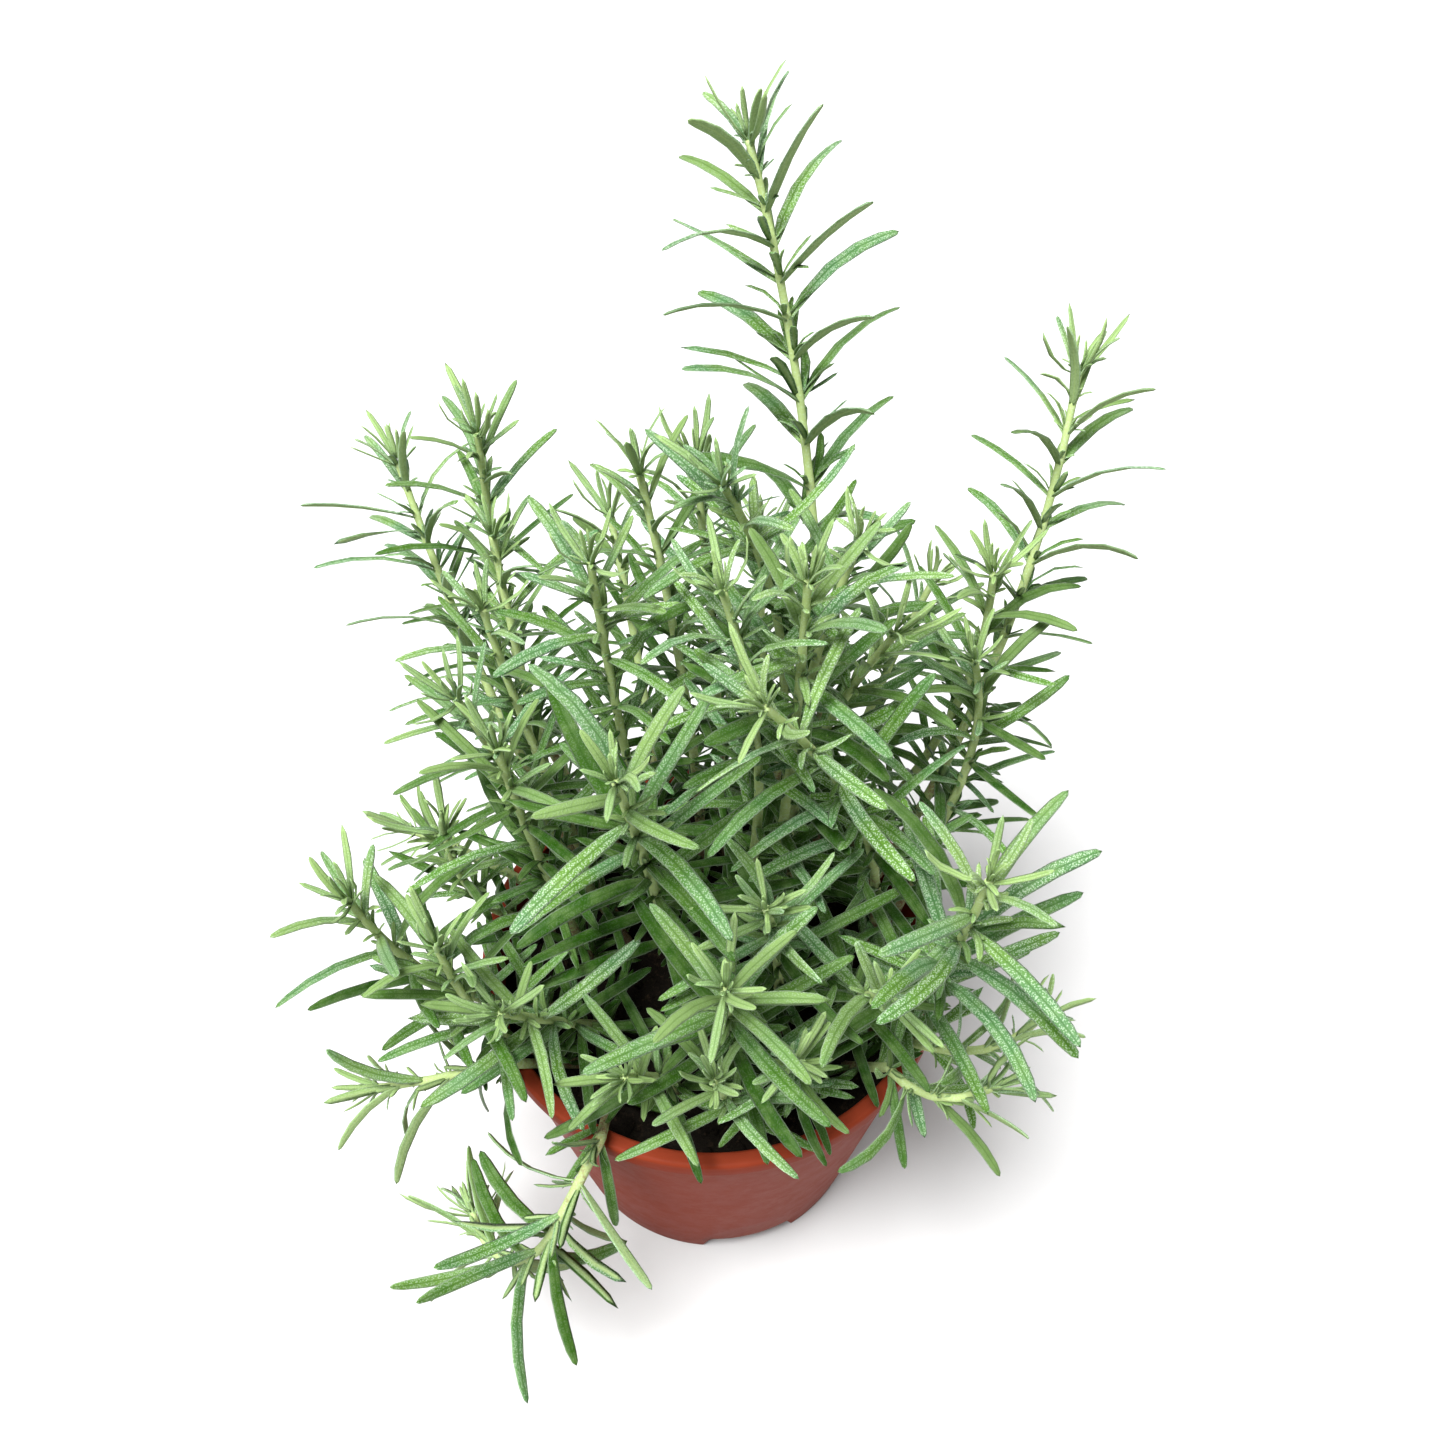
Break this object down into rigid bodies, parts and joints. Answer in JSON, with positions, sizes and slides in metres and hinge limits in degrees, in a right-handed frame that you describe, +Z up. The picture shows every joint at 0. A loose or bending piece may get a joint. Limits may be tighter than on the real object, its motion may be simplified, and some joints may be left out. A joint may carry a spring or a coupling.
{
  "type": "potted rosemary plant",
  "caption": "Bushy rosemary herb with upright, leaning and trailing leafy stems, rooted in dark soil in a tapered terracotta-coloured plastic nursery pot.",
  "frame": {"origin": "centre of the pot's foot, on the surface that the pot stands on", "axes": "+Z up, along the pot's axis; -Y is the front, where the soil and the pot's lip show between the stems; +X is to the right of someone who looks at the front"},
  "size_m": [0.2016, 0.1991, 0.2902],
  "materials": {
    "pot": "moulded terracotta-coloured plastic, satin, paler on the lip",
    "soil": "damp dark peat crumb, matte",
    "rosemary": "leathery green leaves with a pale rolled edge, grooved midrib and felted underside on pale green to tan stems"
  },
  "bodies": {
    "root": {"pot": "pot", "soil": "soil", "stem_leader": "rosemary", "stem_leader_face": "rosemary", "stem_centre": "rosemary", "stem_centre_face": "rosemary", "stem_centre_left": "rosemary", "stem_centre_back": "rosemary", "stem_right_tall": "rosemary", "stem_right_inner": "rosemary", "stem_right_low": "rosemary", "stem_right_face": "rosemary", "stem_right_side": "rosemary", "stem_right_front": "rosemary", "stem_right_edge": "rosemary", "stem_right_hanging": "rosemary", "stem_back_right": "rosemary", "stem_left_slim": "rosemary", "stem_left_back": "rosemary", "stem_left_back_low": "rosemary", "stem_left_back_outer": "rosemary", "stem_left_back_inner": "rosemary", "stem_left_mid": "rosemary", "stem_left_upper": "rosemary", "stem_left_thin": "rosemary", "stem_left_thin_back": "rosemary", "stem_left_outer": "rosemary", "stem_left_low": "rosemary", "stem_left_edge": "rosemary", "stem_left_hanging": "rosemary", "stem_front_big": "rosemary", "stem_front_face": "rosemary", "stem_front_bud": "rosemary", "stem_front_low": "rosemary", "stem_front_left": "rosemary", "stem_front_inner": "rosemary", "stem_front_right": "rosemary", "stem_centre_low": "rosemary", "stem_back_low": "rosemary", "stem_back_left": "rosemary", "stem_back_right_low": "rosemary", "stem_back_hanging": "rosemary"}
  },
  "joints": []
}
